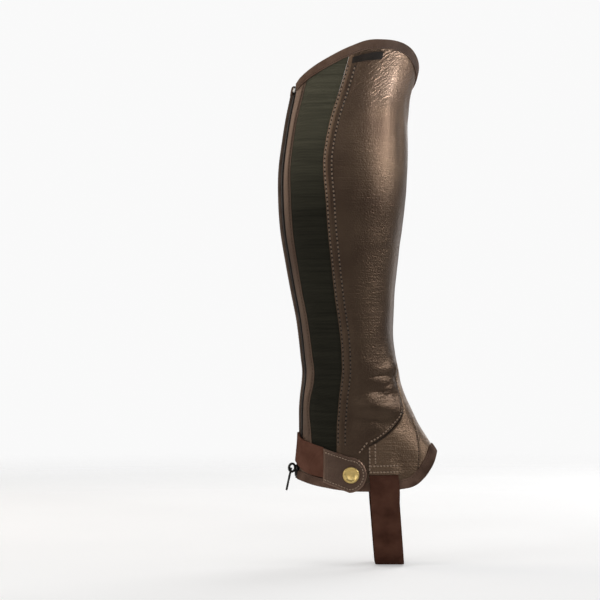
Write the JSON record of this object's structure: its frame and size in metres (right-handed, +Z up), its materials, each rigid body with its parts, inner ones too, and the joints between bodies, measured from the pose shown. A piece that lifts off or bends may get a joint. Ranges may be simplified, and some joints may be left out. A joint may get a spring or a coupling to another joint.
{
  "type": "half chap",
  "caption": "Right-leg riding half chap in synthetic leather, worn shape: rear zip, elastic side panel, snapped ankle strap and elastic stirrup under the foot.",
  "frame": {"origin": "on the leg's axis at the widest part of the calf, 130 mm below the top edge's front end", "axes": "+X towards the toe, -Y towards the outer side of a right leg, +Z up the leg"},
  "size_m": [0.1609, 0.1153, 0.5244],
  "materials": {
    "leather": "soft bronze-brown synthetic leather with a faint metallic sheen",
    "zip_strip": "the same synthetic leather, folded along the zip",
    "gusset": "the same synthetic leather, stitched in light thread",
    "ankle_tab": "synthetic leather, stitched round its edge",
    "elastic": "finely ribbed near-black elastic",
    "top_binding": "matt brown woven tape",
    "hem_binding": "matt dark brown woven tape",
    "zip_binding": "matt dark brown woven tape",
    "zip_tape": "near-black woven tape with a nylon coil",
    "zip_stop": "plain metal clip",
    "zip_slider": "black glossy metal",
    "zip_pull": "black satin metal",
    "ankle_strap": "reddish-brown woven elastic",
    "stirrup_strap": "reddish-brown woven elastic",
    "snap_cap": "polished brass",
    "label": "plain woven label, left blank"
  },
  "bodies": {
    "half_chap": {"shaft_panel": "leather", "zip_strip": "zip_strip", "instep_gusset": "gusset", "ankle_tab": "ankle_tab", "elastic_panel": "elastic", "top_binding": "top_binding", "hem_binding": "hem_binding", "zip_binding": "zip_binding", "zip_tape": "zip_tape", "zip_stop": "zip_stop", "zip_slider": "zip_slider", "ankle_strap": "ankle_strap", "stirrup_strap": "stirrup_strap", "snap_cap": "snap_cap", "label": "label"},
    "pull": {"zip_pull": "zip_pull"}
  },
  "joints": [
    {"name": "pull_hinge", "type": "hinge", "parent": "half_chap", "child": "pull", "pos_m": [-0.05239, -0.0064, -0.28456], "axis": [-0.1601, 0.9871, 0], "range_deg": [-25, 160]}
  ]
}
